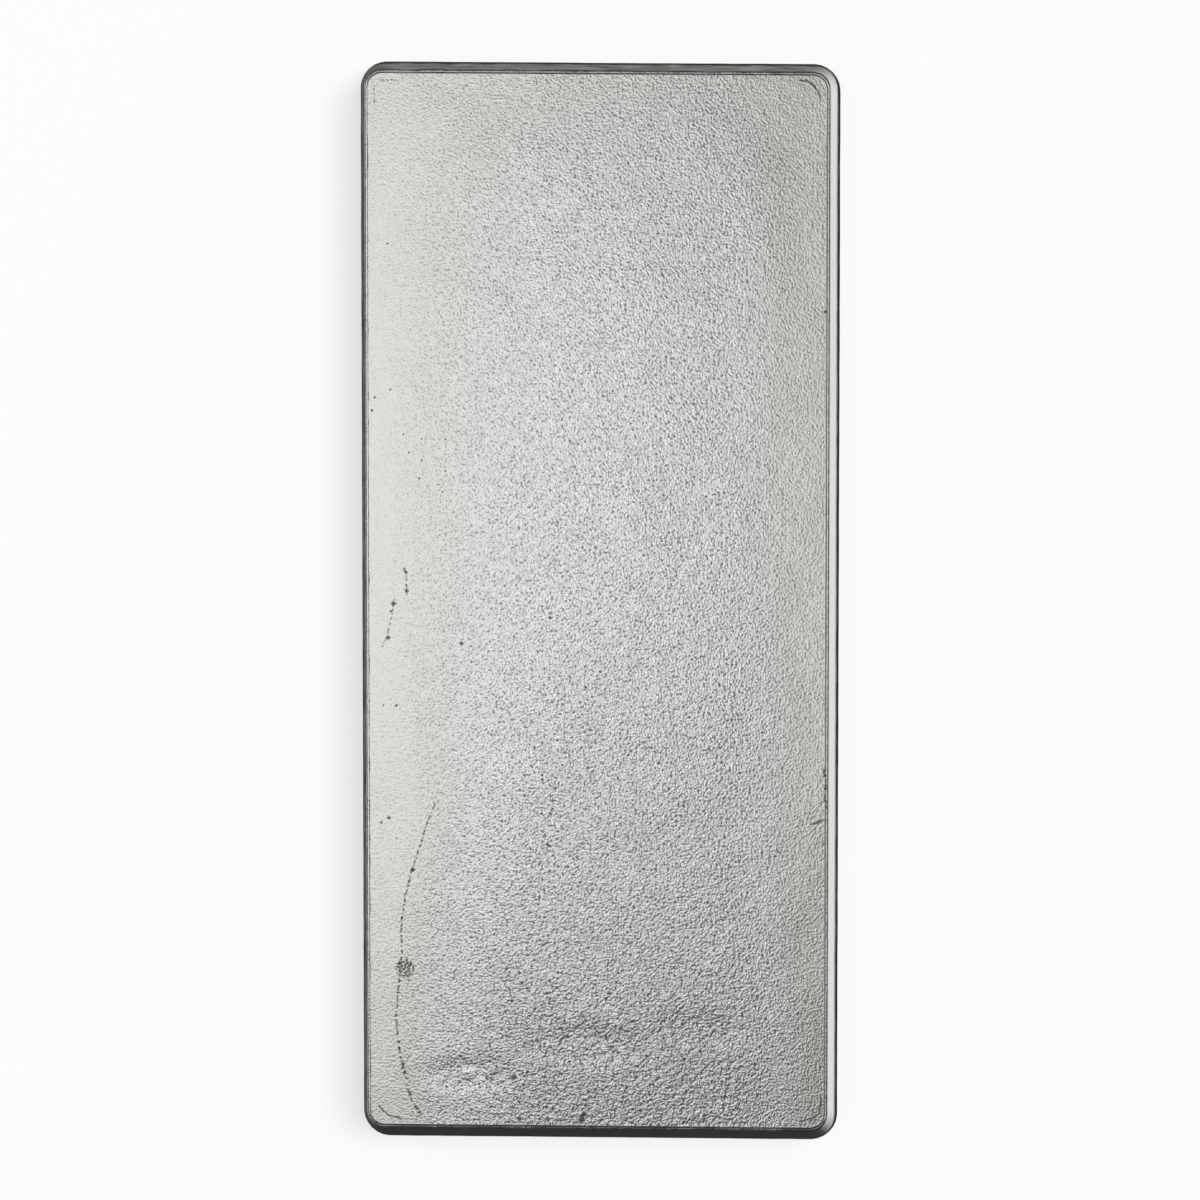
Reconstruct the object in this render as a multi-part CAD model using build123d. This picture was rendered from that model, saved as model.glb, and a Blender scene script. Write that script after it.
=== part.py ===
"""A one-kilogram silver bar, hand-poured into an open mould, lying on its fill face.

The bar is one casting. Its mould face is up: the smaller face, which froze against the mould's floor.
The side walls flare out and down at the mould's draft, and meet in rounded upright corners.
A narrow ledge, where the floor plate met the mould's walls, runs all round the mould face.
The fill face is underneath: it froze in the open air, so its edge is a soft round and its middle has sunk.

Frame: millimetres, +Z up, X across the bar, Y along it with the wider head end at +Y.
The origin is at the middle of the fill face's outline, on the surface that the bar lies on.
"""

from build123d import *

import math
import os

# Outline of the fill face, the widest section
bar_length = 117.0
head_width = 52.4
foot_width = 51.6
corner_radius = 2.9
end_skew_deg = 0.45  # the two ends fall away to the right by this much

# Height, and how far each wall leans in on its way up
bar_height = 16.55
side_lean = 1.2
end_lean = 1.95

# The ledge round the mould face
ledge_width = 0.40
ledge_drop = 0.16
wall_brow = 0.12  # the bevel between the walls and the ledge, across and down
face_brow_radius = 0.08

# The fill face's edge and its shrinkage sink
fill_edge_radius = 1.3
sink_length = 98.0
sink_width = 40.0
sink_depth = 0.7

silver_density = 10.49e-6  # kg per cubic millimetre


def section(side_inset, end_inset, height):
    """The bar's outline, moved in from its sides and ends, at a height."""
    radius = corner_radius - (side_inset + end_inset) / 3
    skew = math.tan(math.radians(end_skew_deg))
    corners = []
    for end, width in ((1, head_width), (-1, foot_width)):
        half_width = width / 2 - side_inset
        for side in (end, -end):
            x = side * half_width
            corners.append((x, end * (bar_length / 2 - end_inset) - x * skew))
    outline = make_face(Polyline(*corners, close=True))
    outline = fillet(outline.vertices(), radius)
    return Pos(0, 0, height) * outline


def drafted_block():
    """The casting's body, from the fill face up its walls and over their brow to the ledge."""
    ledge_height = bar_height - ledge_drop
    brow_height = ledge_height - wall_brow
    share = brow_height / ledge_height
    foot = section(0, 0, 0)
    brow = section(side_lean * share, end_lean * share, brow_height)
    head = section(side_lean + wall_brow, end_lean + wall_brow, ledge_height)
    return loft([foot, brow, head], ruled=True)


def face_plateau():
    """The mould face, which stands a hair above the ledge."""
    ledge_height = bar_height - ledge_drop
    plate = section(side_lean + ledge_width, end_lean + ledge_width, ledge_height)
    return extrude(plate, ledge_drop)


def shrinkage_sink():
    """The shallow hollow that the fill face draws in as the metal freezes."""
    bulge = 4 * sink_depth
    reach = 1 / math.sqrt(1 - ((bulge - sink_depth) / bulge) ** 2)
    half_axes = (sink_width / 2 * reach, sink_length / 2 * reach, bulge)
    hollow = scale(Sphere(1), by=half_axes)
    return Pos(0, 0, sink_depth - bulge) * hollow


def edges_at(solid, height, tolerance=0.01):
    """The edges that lie level at a height."""
    found = []
    for edge in solid.edges():
        box = edge.bounding_box()
        if abs(box.min.Z - height) < tolerance and abs(box.max.Z - height) < tolerance:
            found.append(edge)
    return found


def ingot():
    block = drafted_block()
    block = fillet(edges_at(block, 0), fill_edge_radius)
    bar = block + face_plateau()
    bar = fillet(edges_at(bar, bar_height), face_brow_radius)
    return bar - shrinkage_sink()


bar = ingot()
os.makedirs("parts", exist_ok=True)
export_step(bar, "parts/ingot.step")

size = bar.bounding_box().size
print(f"ingot: {size.X:.2f} x {size.Y:.2f} x {size.Z:.2f} mm")
print(f"volume {bar.volume / 1000:.2f} cm3, silver weight {bar.volume * silver_density:.4f} kg")
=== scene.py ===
# A cast silver bar on a pale floor, seen from straight above, mould face up.
# All sizes are in metres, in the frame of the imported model: X across the bar, Y along it, Z up.

import math

import bpy
import numpy as np
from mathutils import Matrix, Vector


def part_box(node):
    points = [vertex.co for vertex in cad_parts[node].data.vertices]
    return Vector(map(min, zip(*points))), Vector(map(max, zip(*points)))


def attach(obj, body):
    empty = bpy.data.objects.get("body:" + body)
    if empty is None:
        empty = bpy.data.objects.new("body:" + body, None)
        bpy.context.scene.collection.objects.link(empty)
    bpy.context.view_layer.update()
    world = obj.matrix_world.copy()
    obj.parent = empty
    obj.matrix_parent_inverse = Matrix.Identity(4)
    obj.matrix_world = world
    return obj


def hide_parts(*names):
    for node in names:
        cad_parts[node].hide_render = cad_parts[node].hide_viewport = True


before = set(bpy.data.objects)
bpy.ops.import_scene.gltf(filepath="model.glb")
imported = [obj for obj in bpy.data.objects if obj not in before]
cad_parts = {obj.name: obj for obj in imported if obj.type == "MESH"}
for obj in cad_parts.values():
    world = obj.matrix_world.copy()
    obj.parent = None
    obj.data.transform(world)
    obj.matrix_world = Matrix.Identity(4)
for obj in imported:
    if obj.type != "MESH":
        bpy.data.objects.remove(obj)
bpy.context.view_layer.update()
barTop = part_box("ingot")[1].z
mm = 0.001
tiny = 1e-9  # keeps a division clear of zero

# The outline and the walls, at the sizes of the solid that this bar stands for
bar = {
    "width": 52.0 * mm,  # halfway along
    "length": 117.0 * mm,
    "headWider": 0.8 * mm,  # how much wider the +Y end is than the -Y end
    "endSkew": math.radians(0.45),
    "cornerRadius": 2.9 * mm,
    "sideLean": 1.2 * mm,
    "endLean": 1.95 * mm,
    "skin": 0.03 * mm,  # how far the modelled surface keeps inside the solid
    "cornerBands": (3.2 * mm, 4.0 * mm),  # the bands along sides and ends in which two sides blend
}
bar["halfWidth"] = bar["width"] / 2 - bar["skin"]
bar["halfLength"] = bar["length"] / 2 - bar["skin"]
bar["height"] = barTop

rim = {
    "ledgeWidth": 0.40 * mm,
    "ledgeDrop": 0.165 * mm,
    "sideOverrun": (0.0, 0.88, 0.0, 0.0),  # how far metal fills the ledge: right, left, top, bottom
    "sideWaves": (0.3, 0.5, 1.0, 0.8),  # how strongly the ledge waves, side by side as above
    # Depths below the face down to which a vertex belongs to the face, the ledge, the brow, the marked edge
    "faceDrop": 0.001 * mm,
    "innerDrop": 0.19 * mm,
    "browDrop": 0.25 * mm,
    "edgeDrop": 0.30 * mm,
    "inside": 0.06 * mm,  # the grid stops this far inside the face's border, which keeps the brow crisp
    # Each ring round the mould face: how far outside its border, how far below it, and how dark its painted
    # shade is
    "rings": [
        (0.00 * mm, 0.000 * mm, 0.0),
        (0.05 * mm, 0.012 * mm, 0.2),
        (0.08 * mm, 0.060 * mm, 0.9),
        (0.10 * mm, 0.150 * mm, 1.0),
        (0.15 * mm, 0.185 * mm, 1.0),
        (0.22 * mm, 0.170 * mm, 0.1),
        (0.36 * mm, 0.165 * mm, 0.1),
        (0.43 * mm, 0.200 * mm, 0.9),
        (0.47 * mm, 0.290 * mm, 1.0),
    ],
}

wall = {
    "softEdge": 1.3 * mm,  # radius of the fill face's edge
    "edgeRings": 5,
    "rings": 9,
    "topGap": 0.2 * mm,  # between its highest ring and the lowest of the rim
    "footShadeTop": (3.0 * mm, 9.0 * mm),  # the foot's painted contact shadow fades out between these heights
}

sink = {
    # The shallow hollow under the bar, a slice of an ellipsoid
    "reach": (20 * mm, 49 * mm),
    "depth": 0.7 * mm,
    "roundness": 4,  # the ellipsoid's half height, in depths
}

mesh = {
    "faceCells": (174, 402),
    "underCells": (58, 134),
}


def smoothStep(low, high, value):
    share = np.clip((value - low) / (high - low), 0, 1)
    return share * share * (3 - 2 * share)


def outlineSpots(u, v, sideInset, endInset, radius):
    # Lays places of a square, -1 to 1 both ways, on the bar's rounded outline at an inset
    halfWidth = bar["halfWidth"] - sideInset
    halfLength = bar["halfLength"] - endInset
    x = np.abs(u) * halfWidth
    y = np.abs(v) * halfLength
    across = np.clip((x - halfWidth + radius) / radius, 0, 1)
    along = np.clip((y - halfLength + radius) / radius, 0, 1)
    x -= radius * across * (1 - np.sqrt(1 - along**2 / 2))
    y -= radius * along * (1 - np.sqrt(1 - across**2 / 2))
    x, y = np.copysign(x, u), np.copysign(y, v)
    x *= 1 + bar["headWider"] / 4 / bar["halfWidth"] * y / bar["halfLength"]
    return x, y - x * math.tan(bar["endSkew"])


def wallInsets(height):
    # How far the side and end walls lean in at a height
    share = height / (bar["height"] - rim["ledgeDrop"])
    return bar["sideLean"] * share, bar["endLean"] * share


def cornerAt(sideInset, endInset):
    return bar["cornerRadius"] - (sideInset + endInset) / 3


def addPlate(name, cells, stepUp, rings):
    # A flat grid whose border is pulled out ring by ring, one unit up or down each
    bpy.ops.object.select_all(action="DESELECT")
    bpy.ops.mesh.primitive_grid_add(x_subdivisions=cells[0], y_subdivisions=cells[1], size=2)
    plate = bpy.context.object
    plate.name = name
    bpy.ops.object.mode_set(mode="EDIT")
    bpy.ops.mesh.select_all(action="SELECT")
    bpy.ops.mesh.region_to_loop()
    for ring in range(rings):
        bpy.ops.mesh.extrude_edges_move(TRANSFORM_OT_translate={"value": (0, 0, stepUp)})
    bpy.ops.object.mode_set(mode="OBJECT")
    return plate


def readSpots(piece):
    spots = np.empty(len(piece.data.vertices) * 3)
    piece.data.vertices.foreach_get("co", spots)
    return spots.reshape(-1, 3)


def writeSpots(piece, spots):
    piece.data.vertices.foreach_set("co", spots.ravel())
    piece.data.update()


def addAttribute(piece, name, values):
    attribute = piece.data.attributes.new(name, "FLOAT", "POINT")
    attribute.data.foreach_set("value", np.asarray(values, dtype=np.float32))


def readAttribute(piece, name):
    values = np.empty(len(piece.data.vertices), dtype=np.float32)
    piece.data.attributes[name].data.foreach_get("value", values)
    return values


def shapePlate(plate, profile):
    # profile holds (side inset, end inset, corner radius, height, painted shade) for the grid and each ring
    spots = readSpots(plate)
    u, v = spots[:, 0].copy(), spots[:, 1].copy()
    ring = np.rint(np.abs(spots[:, 2])).astype(int)
    for number, (sideInset, endInset, radius, height, edgeShade) in enumerate(profile):
        here = ring == number
        x, y = outlineSpots(u[here], v[here], sideInset, endInset, radius)
        spots[here] = np.stack([x, y, np.full(x.shape, height)], 1)
    writeSpots(plate, spots)
    addAttribute(plate, "edgeShade", np.array([row[4] for row in profile])[ring])


def mouldProfile():
    # From the mould face's border out over the ledge to the top of the walls
    sideTop, endTop = wallInsets(bar["height"])
    reach = rim["ledgeWidth"] + rim["inside"]
    profile = []
    for out, drop, edgeShade in [(-rim["inside"], 0, 0), *rim["rings"]]:
        side, end = sideTop + reach - out, endTop + reach - out
        profile.append((side, end, cornerAt(side, end), bar["height"] - drop, edgeShade))
    return profile


def fillProfile():
    # From the fill face's border round its soft edge and up the walls
    soft = wall["softEdge"]
    profile = [(soft, soft, bar["cornerRadius"] - soft, 0, 0)]
    for number in range(1, wall["edgeRings"] + 1):
        turn = math.pi / 2 * number / wall["edgeRings"]
        inset, height = soft * (1 - math.sin(turn)), soft * (1 - math.cos(turn))
        side, end = wallInsets(height)
        profile.append((side + inset, end + inset, bar["cornerRadius"] - inset, height, 1))
    top = bar["height"] - rim["rings"][-1][1] - wall["topGap"]
    for number in range(1, wall["rings"] + 1):
        height = soft + (top - soft) * number / wall["rings"]
        side, end = wallInsets(height)
        edgeShade = smoothStep(wall["footShadeTop"][1], wall["footShadeTop"][0], height)
        profile.append((side, end, cornerAt(side, end), height, edgeShade))
    return profile


def bySide(x, y, right, left, top, bottom):
    # One value for each side of the bar, blended round the corners
    sideBand, endBand = bar["cornerBands"]
    aside = np.maximum(np.abs(x) - bar["halfWidth"] + sideBand, tiny)
    along = np.maximum(np.abs(y) - bar["halfLength"] + endBand, tiny)
    share = aside**2 / (aside**2 + along**2)
    return share * np.where(x > 0, right, left) + (1 - share) * np.where(y > 0, top, bottom)


def fillLedge(plate):
    # Metal that ran over the mould's edge lifts the ledge
    spots = readSpots(plate)
    x, y, z = spots.T
    drop = bar["height"] - z
    spots[:, 2] += drop * (drop < rim["innerDrop"]) * bySide(x, y, *rim["sideOverrun"])
    writeSpots(plate, spots)


def hollowPlate(plate):
    # The fill face sank as the metal froze
    spots = readSpots(plate)
    bulge = sink["depth"] * sink["roundness"]
    spread = 1 - (1 - 1 / sink["roundness"])**2
    away = (spots[:, 0] / sink["reach"][0])**2 + (spots[:, 1] / sink["reach"][1])**2
    hollow = sink["depth"] - bulge + bulge * np.sqrt(np.maximum(1 - away * spread, 0))
    spots[:, 2] = np.maximum(spots[:, 2], hollow)
    writeSpots(plate, spots)


def joinPlates(plates, name):
    bpy.ops.object.select_all(action="DESELECT")
    for plate in plates:
        plate.select_set(True)
    bpy.context.view_layer.objects.active = plates[0]
    bpy.ops.object.join()
    whole = bpy.context.object
    whole.name = whole.data.name = name
    bpy.ops.object.mode_set(mode="EDIT")
    bpy.ops.mesh.select_mode(type="EDGE")
    bpy.ops.mesh.select_all(action="DESELECT")
    bpy.ops.mesh.select_non_manifold(extend=False, use_boundary=True, use_wire=False, use_multi_face=False,
                                     use_non_contiguous=False, use_verts=False)
    bpy.ops.mesh.bridge_edge_loops()
    bpy.ops.mesh.select_all(action="SELECT")
    bpy.ops.mesh.normals_make_consistent(inside=False)
    bpy.ops.object.mode_set(mode="OBJECT")
    bpy.ops.object.shade_smooth()
    return whole


photo = {
    "middle": (600.7, 599.5),  # the bar's middle in the 1200 x 1200 photo
    "pixel": 0.10662 * mm,  # one photo pixel at the height of the mould face
    "shift": 0.385 * mm,  # the camera stands to the right, so the raised face shows further left
}


def onFace(across, down):
    # The place on the mould face that a photo pixel shows
    x = (across - photo["middle"][0]) * photo["pixel"] + photo["shift"]
    return x, (photo["middle"][1] - down) * photo["pixel"]


relief = {
    # The coarse grain: photo pixels down, across where it sets in, the width it takes to build up, strength
    "grainRows": [(76, 395, 300, 0.75), (130, 400, 260, 0.92), (200, 385, 220, 0.98), (400, 380, 220, 1.00),
                  (560, 385, 220, 1.04), (700, 385, 200, 1.12), (805, 412, 150, 1.15), (872, 398, 150, 1.15),
                  (945, 390, 150, 1.18), (1010, 388, 150, 1.26), (1118, 395, 150, 1.32)],
    "fineGrain": 0.50,  # what is left of the grain outside it
    "sideGrain": 0.25,  # the same on the walls and underneath
    "calmRight": (715, 830, 0.48),  # between these pixels the grain fades by this share
    "pebbleSize": 0.9 * mm,
    "pebbleHeight": 0.03 * mm,
    "swellSize": 7 * mm,
    "swellHeight": 0.06 * mm,
    "ridgeSize": 1.3 * mm,
    "ridgeHeight": 0.10 * mm,
    # Photo pixels across and down to the middle of the ridges, and how far they reach across and down
    "ridgeSpots": [(590, 1045, 75, 28), (470, 1075, 60, 24), (700, 1030, 60, 26)],
    "ridgeEdge": (1.0, 0.3),  # shares of that reach between which they rise
    "rimSize": 1.6 * mm,
    "rimDepth": 0.10 * mm,
    "wallSize": 2.5 * mm,
    "wallDepth": 0.05 * mm,
    "wallSlope": (0.8, 0.4),  # upward parts of the normal between which the soft edge becomes wall
}

sideShade = {
    # Painted shade, side by side, for the shadowed floor that the walls and grooves mirror: how dark each
    # side is, right, left, top and bottom
    "groove": (0.30, 0.0, 0.95, 1.0),
    "brow": (0.45, 1.2, 1.2, 1.3),
    "ledge": (0.05, 0.0, 0.40, 0.85),
    "walls": (0.11, 1.0, 0.90, 1.25),
    # painted contact shadow round the foot
    "foot": 1.25,
}

seams = [
    # Where the metal met itself: strength, how unbroken, half width, and the photo pixels it runs through
    (0.9, 0.08, 0.06 * mm, [(435, 803), (432, 812), (427, 822), (422, 840), (415, 860), (411, 872),
                            (408, 885), (404, 900)]),
    (1.0, 0.0, 0.065 * mm, [(405, 896), (402, 915), (401, 932), (402, 950), (400, 972), (398, 990),
                            (397, 1005), (395, 1018), (397, 1030)]),
    (1.0, 0.0, 0.10 * mm, [(396, 1022), (398, 1040), (400, 1055), (404, 1070), (408, 1088), (412, 1103),
                           (418, 1110), (424, 1118)]),
    (0.8, 0.0, 0.06 * mm, [(404, 567), (406, 576), (407, 595)]),
    (0.6, 0.0, 0.05 * mm, [(394, 598), (392, 612), (387, 636), (382, 647)]),
    (1.0, 1.0, 0.09 * mm, [(812, 824), (819, 821), (825, 819)]),
    (1.0, 0.3, 0.075 * mm, [(824, 768), (826, 783), (825, 797), (828, 811)]),
    # The folds inside the corners
    (0.8, 1.0, 0.07 * mm, [(800, 79), (808, 81), (814, 85), (818, 91), (821, 101)]),
    (0.8, 1.0, 0.07 * mm, [(822, 1098), (820, 1107), (819, 1113), (814, 1118), (806, 1119), (799, 1121)]),
    (0.9, 1.0, 0.06 * mm, [(379, 1105), (382, 1110), (388, 1115), (396, 1117), (403, 1119)]),
    (0.35, 0.0, 0.05 * mm, [(378, 79), (394, 79)]),
    (0.35, 0.0, 0.05 * mm, [(374, 83), (374, 103)]),
]

pits = [
    # Gas pits: photo pixels across and down, and the radius in pixels
    (461, 642, 2.4), (463, 676, 1.6), (391, 390, 1.6), (404, 433, 1.6), (420, 438, 1.6), (444, 438, 1.6),
    (409, 452, 1.6), (421, 460, 1.6), (419, 477, 1.8), (445, 470, 1.6), (443, 492, 1.6), (444, 534, 1.6),
    (374, 396, 1.9), (371, 409, 1.9), (393, 604, 2.7), (391, 612, 1.9), (387, 637, 2.4), (407, 590, 2.4),
    (406, 572, 1.9), (395, 706, 2.0), (418, 717, 1.5), (382, 706, 1.5), (413, 871, 2.6), (389, 818, 2.2),
    (380, 822, 1.9), (396, 837, 1.5), (408, 958, 1.5), (471, 113, 1.6), (386, 243, 1.6), (826, 312, 2.2),
    (515, 1077, 2.9), (552, 1109, 2.4), (519, 1118, 2.6), (548, 1119, 2.6), (584, 1113, 2.9),
    (581, 1120, 3.2),
    (546, 588, 1.6), (551, 611, 1.6), (551, 618, 2.2), (557, 694, 1.9), (558, 702, 1.9), (531, 765, 1.9),
    (543, 775, 1.6), (542, 779, 2.1), (552, 799, 2.1), (552, 807, 1.9), (549, 813, 2.1), (543, 814, 1.5),
    (545, 833, 1.9), (547, 845, 2.3), (552, 856, 1.9), (558, 866, 1.9), (550, 872, 1.9), (833, 848, 2.6),
    (831, 890, 2.6),
]

sponges = [(406, 969, 8)]  # where fine pores crowd, written as the pits are


def addZone(piece, name, weights, faintest=0.001):
    # A vertex group that holds a modifier to its part of the bar
    group = piece.vertex_groups.new(name=name + "Zone")
    for index in np.flatnonzero(weights > faintest):
        group.add([int(index)], float(weights[index]), "REPLACE")


def displace(piece, group, kind, settings, height, level, direction):
    # level is the texture's value that moves nothing
    texture = bpy.data.textures.new(group + kind.title(), kind)
    for name, value in settings.items():
        setattr(texture, name, value)
    modifier = piece.modifiers.new(texture.name, "DISPLACE")
    modifier.texture = texture
    modifier.texture_coords = "LOCAL"
    modifier.direction = direction
    modifier.vertex_group = group + "Zone"
    modifier.strength = height
    modifier.mid_level = level
    bpy.context.view_layer.objects.active = piece
    bpy.ops.object.modifier_apply(modifier=modifier.name)


def grainMask(x, y):
    rows, starts, widths, strengths = np.array(relief["grainRows"]).T
    across = (x - photo["shift"]) / photo["pixel"] + photo["middle"][0]
    down = photo["middle"][1] - y / photo["pixel"]
    start = np.interp(down, rows, starts)
    before = np.clip(1 - (across - start) / np.interp(down, rows, widths), 0, 1)
    low, high, calm = relief["calmRight"]
    strength = np.interp(down, rows, strengths) * (1 - calm * smoothStep(low, high, across))
    return strength + (relief["fineGrain"] - strength) * before**2


def ridgeMask(x, y):
    mask = np.zeros(x.shape)
    for across, down, width, tall in relief["ridgeSpots"]:
        middleX, middleY = onFace(across, down)
        away = np.hypot((x - middleX) / width, (y - middleY) / tall) / photo["pixel"]
        mask = np.maximum(mask, smoothStep(*relief["ridgeEdge"], away))
    return mask


seamReach = {
    "limit": 1.0 * mm,  # a vertex further than this from every seam belongs to none
    "outside": 9.0,  # its distance, in half widths
    "apart": 500,  # between the runs of two seams, in half widths, so that their dots differ
    "endFade": 0.3 * mm,
    "sideFade": (0.45 * mm, 0.3 * mm),
}


def seamFields(x, y):
    # By each vertex's nearest seam: signed distance and run in half widths, strength, how unbroken
    nearest = np.full(x.shape, seamReach["limit"])
    side = np.full(x.shape, seamReach["outside"])
    run, force, whole = (np.zeros(x.shape) for _ in range(3))
    for number, (strength, unbroken, halfWidth, pixels) in enumerate(seams):
        spots = [Vector(onFace(*pixel)) for pixel in pixels]
        total = sum((head - tail).length for tail, head in zip(spots, spots[1:]))
        start = 0
        for tail, head in zip(spots, spots[1:]):
            length = (head - tail).length
            way = (head - tail) / length
            along = (x - tail.x) * way.x + (y - tail.y) * way.y
            across = (y - tail.y) * way.x - (x - tail.x) * way.y
            held = np.clip(along, 0, length)
            distance = np.hypot(across, along - held)
            nearer = distance < nearest
            nearest[nearer] = distance[nearer]
            side[nearer] = np.copysign(distance, across)[nearer] / halfWidth
            run[nearer] = (start + held[nearer]) / halfWidth + seamReach["apart"] * number
            ends = np.minimum(start + held, total - start - held)
            fade = smoothStep(0, seamReach["endFade"], ends) * smoothStep(*seamReach["sideFade"], distance)
            force[nearer] = strength * fade[nearer]
            whole[nearer] = unbroken
            start += length
    return side, run, force, whole


def pitField(x, y, places):
    # 1 at the middle of each pit, 0.75 at its rim, 0 from twice its radius
    field = np.zeros(x.shape)
    for across, down, radius in places:
        middleX, middleY = onFace(across, down)
        middle = np.argmin(np.hypot(x - middleX, y - middleY))
        away = np.hypot(x - x[middle], y - y[middle]) / (radius * photo["pixel"])
        field = np.maximum(field, 1 - np.minimum(away**2, 4) / 4)
    return field


def readNormals(piece):
    normals = np.empty(len(piece.data.vertices) * 3)
    piece.data.vertices.foreach_get("normal", normals)
    return normals.reshape(-1, 3)


def paintSurface(piece):
    # Zones for the modifiers and attributes for the material
    x, y, z = readSpots(piece).T
    drop = bar["height"] - z
    top = (drop < rim["faceDrop"]).astype(float)
    nearTop = (drop < rim["browDrop"]).astype(float)
    ledge = nearTop - top
    walls = smoothStep(*relief["wallSlope"], np.abs(readNormals(piece)[:, 2])) * (drop > rim["edgeDrop"])
    filled = ledge * bySide(x, y, *[float(overrun > 0) for overrun in rim["sideOverrun"]])
    level = np.maximum(top, filled)  # the face, and the ledge where it is filled
    grain = grainMask(x, y)

    addZone(piece, "grain", grain * level)
    addZone(piece, "ridge", ridgeMask(x, y) * top)
    addZone(piece, "swell", level)
    addZone(piece, "wall", walls)
    addZone(piece, "rim", ledge * bySide(x, y, *rim["sideWaves"]))
    addAttribute(piece, "grain", np.where(nearTop, grain, relief["sideGrain"]))

    # Painted shade: the grooves, brow, ledge and walls darken side by side for the shadowed floor they
    # mirror, and the foot for the bar's contact shadow
    edgeShade = readAttribute(piece, "edgeShade")
    lips = edgeShade * np.where(drop < rim["innerDrop"], bySide(x, y, *sideShade["groove"]),
                           bySide(x, y, *sideShade["brow"]))
    wallShade = walls * bySide(x, y, *sideShade["walls"])
    upper = np.maximum.reduce([lips, wallShade, ledge * bySide(x, y, *sideShade["ledge"])])
    lower = np.maximum(edgeShade * sideShade["foot"], wallShade)
    addAttribute(piece, "paintedShade", np.where(z > bar["height"] / 2, upper, lower))

    side, run, force, whole = seamFields(x, y)
    addAttribute(piece, "seamSide", side)
    addAttribute(piece, "seamRun", run)
    addAttribute(piece, "seamForce", force * nearTop)
    addAttribute(piece, "seamWhole", whole)
    addAttribute(piece, "pit", pitField(x, y, pits) * (drop < rim["edgeDrop"]))
    addAttribute(piece, "sponge", pitField(x, y, sponges) * top)


def addRelief(piece):
    displace(piece, "swell", "CLOUDS", {"noise_scale": relief["swellSize"], "noise_depth": 1},
             relief["swellHeight"], 1, "Z")
    displace(piece, "grain", "CLOUDS", {"noise_scale": relief["pebbleSize"], "noise_type": "HARD_NOISE",
                                        "noise_basis": "ORIGINAL_PERLIN", "noise_depth": 1},
             relief["pebbleHeight"], 1, "Z")
    displace(piece, "ridge", "CLOUDS", {"noise_scale": relief["ridgeSize"], "noise_type": "HARD_NOISE"},
             relief["ridgeHeight"], 1, "Z")
    displace(piece, "rim", "CLOUDS", {"noise_scale": relief["rimSize"], "noise_depth": 1},
             relief["rimDepth"], 0.5, "NORMAL")
    displace(piece, "wall", "CLOUDS", {"noise_scale": relief["wallSize"], "noise_depth": 2},
             relief["wallDepth"], 1, "NORMAL")


class Signal:
    # A shader socket: arithmetic on it adds Math nodes, and node() adds a node of any other kind
    def __init__(self, tree, socket=None):
        self.tree = tree
        self.socket = socket

    def node(self, kind, settings=None, inputs=None, output=0):
        made = self.tree.nodes.new("ShaderNode" + kind)
        for name, value in (settings or {}).items():
            setattr(made, name, value)
        for name, value in (inputs or {}).items():
            if isinstance(value, Signal):
                self.tree.links.new(value.socket, made.inputs[name])
            else:
                made.inputs[name].default_value = value
        return Signal(self.tree, made.outputs[output])

    def maths(self, operation, *values):
        return self.node("Math", {"operation": operation}, dict(enumerate(values)))

    def mix(self, first, second):
        # This signal chooses between two colours
        return self.node("Mix", {"data_type": "RGBA"}, {0: self, 6: first, 7: second}, 2)

    def most(self, other):
        return self.maths("MAXIMUM", self, other)

    def step(self, low, high):
        return self.node("MapRange", {"interpolation_type": "SMOOTHSTEP"},
                         {"Value": self, "From Min": low, "From Max": high})

    def __add__(self, value):
        return self.maths("ADD", self, value)

    def __sub__(self, value):
        return self.maths("SUBTRACT", self, value)

    def __rsub__(self, value):
        return self.maths("SUBTRACT", value, self)

    def __mul__(self, value):
        return self.maths("MULTIPLY", self, value)

    def __abs__(self):
        return self.maths("ABSOLUTE", self)

    __radd__ = __add__
    __rmul__ = __mul__


def newMaterial(name):
    material = bpy.data.materials.new(name)
    material.use_nodes = True
    tree = material.node_tree
    tree.nodes.clear()
    output = tree.nodes.new("ShaderNodeOutputMaterial")
    return material, Signal(tree), output


silver = {
    "bright": (0.925, 0.93, 0.94, 1),  # in the coarse grain
    "skin": (0.80, 0.803, 0.770, 1),  # where the grain is fine
    "shade": (0.10, 0.10, 0.11, 1),  # painted shade in the crevices
    "shadeAndMarks": (0.085, 0.087, 0.093, 1),  # painted shade on the walls, grooves and foot, and the dark of the pits, seams and specks
    "roughness": 0.25,
    "skinRoughness": 0.27,
    "shadeAndMarksRoughness": 0.50,
    # Grain strengths between which bright metal, the crevices and the lumps set in
    "brightGrain": (0.65, 1.1),
    "creviceGrain": (0.3, 1.1),
    "lumpGrain": (1.0, 1.5),
    # Sizes and depths are in mm, noises in cells to the mm
    "pebblePerMm": 3.7,
    "pebbleDepth": 0.066,
    "crevice": (0.42, 0.30),  # levels of the pebbles' noise between which painted shade darkens them
    "creviceShare": 0.80,
    "specksPerMm": 0.55,
    "speckRadius": 0.10,
    "speckCore": 0.6,  # the part of the radius that is dark all over
    "speckHidden": 0.6,  # how far the grain hides the specks
    "speckShare": 0.8,
    "seamEdge": (1.5, 0.6),  # in half widths of the seam, like its wobble and its dots
    "seamWobble": 6.0,
    "wobblePerMm": 3.0,
    "dotLength": 6.0,
    "dotEdge": (0.47, 0.53),
    "seamDepth": 0.05,
    "pitEdge": (0.70, 0.85),
    "pitRaggedness": 0.3,
    "raggedPerMm": 4.0,
    "pitDepth": 0.08,
    "spongeEdge": (0.6, 0.9),
    "pore": (0.54, 0.46),
    "lumpPerMm": 2.0,
    "lumpDepth": 0.12,
    "markShare": 0.8,  # how much of the metal the dark layer hides in pits and seams
    "patchPerMm": 0.45,
    "patchEdge": (0.30, 0.65),
    "patchShare": 0.2,  # how far the painted shade thins out in patches
}


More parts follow.
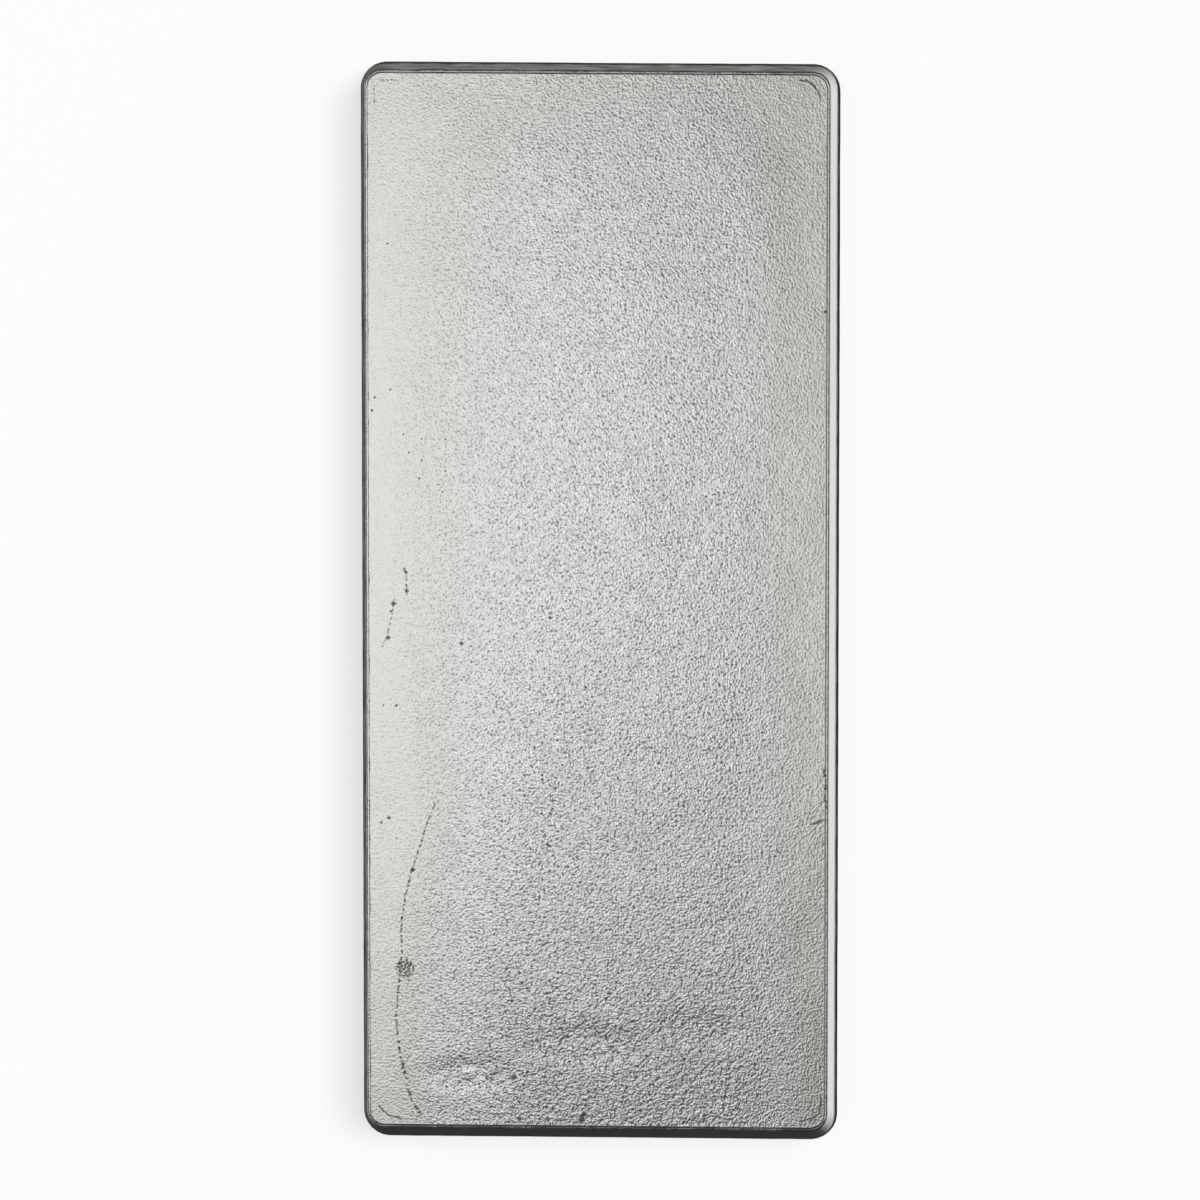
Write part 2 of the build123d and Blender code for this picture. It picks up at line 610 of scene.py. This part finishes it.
def silverMaterial():
    material, start, output = newMaterial("castSilver")
    coordinates = start.node("TexCoord", output="Object")
    place = start.node("VectorMath", {"operation": "SCALE"}, {0: coordinates, "Scale": 1 / mm})

    def painted(name):
        return start.node("Attribute", {"attribute_name": name}, output="Fac")

    def noise(perMm, detail):
        return start.node("TexNoise", {}, {"Vector": place, "Scale": perMm, "Detail": detail})

    grain = painted("grain")
    pebbles = noise(silver["pebblePerMm"], 2.0)
    # Painted shade: the base colour darkens in the pebbles' crevices
    dips = pebbles.step(*silver["crevice"]) * silver["creviceShare"]
    creviceShade = dips * grain.step(*silver["creviceGrain"])

    cells = start.node("TexVoronoi", {}, {"Vector": place, "Scale": silver["specksPerMm"]})
    speckSize = silver["speckRadius"] * silver["specksPerMm"]
    specks = cells.step(speckSize, speckSize * silver["speckCore"]) * (1 - grain * silver["speckHidden"])

    wobble = (noise(silver["wobblePerMm"], 2.0) - 0.5) * silver["seamWobble"]
    line = abs(painted("seamSide") + wobble).step(*silver["seamEdge"])
    beads = start.node("TexNoise", {"noise_dimensions": "1D"}, {"W": painted("seamRun"), "Detail": 1.0,
                                                               "Scale": 1 / silver["dotLength"]})
    dots = beads.step(*silver["dotEdge"])
    seam = line * painted("seamForce") * dots.most(painted("seamWhole"))

    ragged = (noise(silver["raggedPerMm"], 1.0) - 0.5) * silver["pitRaggedness"]
    pores = painted("sponge").step(*silver["spongeEdge"]) * pebbles.step(*silver["pore"])
    pit = (painted("pit") + ragged).step(*silver["pitEdge"]).most(pores)
    marks = seam.most(pit).most(specks * silver["speckShare"])

    lumps = noise(silver["lumpPerMm"], 1.0) * grain.step(*silver["lumpGrain"])
    height = (pebbles * grain * silver["pebbleDepth"] + lumps * silver["lumpDepth"]
              - seam * silver["seamDepth"] - pit * silver["pitDepth"])
    bump = start.node("Bump", {}, {"Height": height, "Distance": mm, "Strength": 1.0})

    coarse = grain.step(*silver["brightGrain"])
    roughness = silver["skinRoughness"] + (silver["roughness"] - silver["skinRoughness"]) * coarse
    clean = coarse.mix(silver["skin"], silver["bright"])
    metal = start.node("BsdfPrincipled", {}, {"Base Color": creviceShade.mix(clean, silver["shade"]),
                                              "Metallic": 1.0, "Roughness": roughness, "Normal": bump})
    shadeAndMarks = start.node("BsdfPrincipled", {}, {"Base Color": silver["shadeAndMarks"], "Metallic": 1.0, "Normal": bump,
                                              "Roughness": silver["shadeAndMarksRoughness"],
                                              "Specular Tint": (0, 0, 0, 1)})  # dark at a slant
    # The dark layer carries the painted shade of walls, grooves and foot, and the marks
    patches = noise(silver["patchPerMm"], 4.0).step(*silver["patchEdge"])
    patchyShade = painted("paintedShade") * (1 - silver["patchShare"] + patches * silver["patchShare"])
    dark = patchyShade.most(marks * silver["markShare"])
    shader = start.node("MixShader", {}, {0: dark, 1: metal, 2: shadeAndMarks})
    start.tree.links.new(shader.socket, output.inputs["Surface"])
    return material


studio = {
    "cameraHeight": 0.9,
    "cameraAside": 0.021,
    "lens": 248.55,
    "sensor": 36,
    "shiftX": -0.0006,
    "floorSize": 6.0,
    "floorColour": (0.92, 0.92, 0.92, 1),
    "floorWhite": 0.7,  # how far the camera and the metal see the floor as plain white
    "zenith": 0.05,
    "horizon": 0.9,
    "skyEdge": (0.05, 0.5),  # heights on a unit sky between which the horizon gives way to the zenith
    "softboxHeight": 0.33,
    "mirrorSpot": (340, 500),  # the photo pixel where the softbox shows brightest in the mould face
    "softboxReach": (0.090, 0.115),  # half its width and half its length
    "softboxLevel": 1.10,  # its brightness, where 1 is white
    "sunLevel": 0.80,  # how bright a white floor is by the sun alone
    "sunElevation": 77,
    "sunAzimuth": 20,  # from +X towards +Y
    "sunWidth": 18,
}


def addCamera():
    # Far above, a little to the right of the bar's middle, through a long lens, with +Y up the picture
    tilt = math.atan2(studio["cameraAside"], studio["cameraHeight"])
    place = (studio["cameraAside"], 0, studio["cameraHeight"])
    bpy.ops.object.camera_add(location=place, rotation=(0, tilt, 0))
    camera = bpy.context.object
    camera.data.lens = studio["lens"]
    camera.data.sensor_width = studio["sensor"]
    camera.data.shift_x = studio["shiftX"]
    bpy.context.scene.camera = camera
    return camera


def addSoftbox(camera):
    # An oval that the mould face mirrors to the camera at mirrorSpot
    x, y = onFace(*studio["mirrorSpot"])
    rise = (studio["softboxHeight"] - bar["height"]) / (camera.location.z - bar["height"])
    spot = (x + (x - camera.location.x) * rise, y + (y - camera.location.y) * rise, studio["softboxHeight"])
    bpy.ops.object.light_add(type="AREA", location=spot)
    light = bpy.context.object
    light.name = "softbox"
    across, along = studio["softboxReach"]
    light.data.shape = "ELLIPSE"
    light.data.size = 2 * across
    light.data.size_y = 2 * along
    area = math.pi * across * along
    light.data.energy = studio["softboxLevel"] * math.pi * area
    light.visible_camera = False


def addSun():
    # Lights the floor from the right, and isn't mirrored in the metal
    bpy.ops.object.light_add(type="SUN", location=(0, 0, 1))
    sun = bpy.context.object
    sun.name = "windowLight"
    rise, turn = math.radians(studio["sunElevation"]), math.radians(studio["sunAzimuth"])
    aim = Vector((math.cos(rise) * math.cos(turn), math.cos(rise) * math.sin(turn), math.sin(rise)))
    sun.rotation_euler = aim.to_track_quat("Z", "Y").to_euler()
    sun.data.energy = studio["sunLevel"] * math.pi / math.sin(rise)
    sun.data.angle = math.radians(studio["sunWidth"])
    sun.visible_glossy = False


def addWorld():
    # Dim overhead and pale at the horizon
    world = bpy.data.worlds.new("studio")
    bpy.context.scene.world = world
    world.use_nodes = True
    world.node_tree.nodes.clear()
    start = Signal(world.node_tree)
    direction = start.node("TexCoord", output="Generated")
    up = start.node("SeparateXYZ", {}, {"Vector": direction}, "Z")
    level = studio["horizon"] + (studio["zenith"] - studio["horizon"]) * up.step(*studio["skyEdge"])
    background = start.node("Background", {}, {"Color": (1, 1, 1, 1), "Strength": level})
    output = world.node_tree.nodes.new("ShaderNodeOutputWorld")
    world.node_tree.links.new(background.socket, output.inputs["Surface"])


def addFloor():
    bpy.ops.mesh.primitive_plane_add(size=studio["floorSize"])
    floor = bpy.context.object
    floor.name = "floor"
    material, start, output = newMaterial("paleFloor")
    lit = start.node("BsdfDiffuse", {}, {"Color": studio["floorColour"]})
    white = start.node("Emission", {}, {"Color": (1, 1, 1, 1), "Strength": 1.0})
    seen = start.node("LightPath", output="Is Camera Ray")
    for ray in ("Is Glossy Ray", "Is Transmission Ray"):
        seen = seen.most(start.node("LightPath", output=ray))
    shader = start.node("MixShader", {}, {0: seen * studio["floorWhite"], 1: lit, 2: white})
    start.tree.links.new(shader.socket, output.inputs["Surface"])
    floor.data.materials.append(material)


camera = addCamera()
addSoftbox(camera)
addSun()
addWorld()
addFloor()
bpy.context.scene.view_settings.view_transform = "Standard"
print("studio set")

face = addPlate("mouldFace", mesh["faceCells"], -1, len(rim["rings"]))
shapePlate(face, mouldProfile())
fillLedge(face)
under = addPlate("fillFace", mesh["underCells"], 1, wall["edgeRings"] + wall["rings"])
shapePlate(under, fillProfile())
hollowPlate(under)
castBar = joinPlates([face, under], "cast_bar")
castBar.data.calc_loop_triangles()
print("bar modelled:", len(castBar.data.loop_triangles), "triangles")

paintSurface(castBar)
addRelief(castBar)
print("relief applied")
castBar.data.materials.append(silverMaterial())
print("silver cast")
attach(castBar, "root")
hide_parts("ingot")
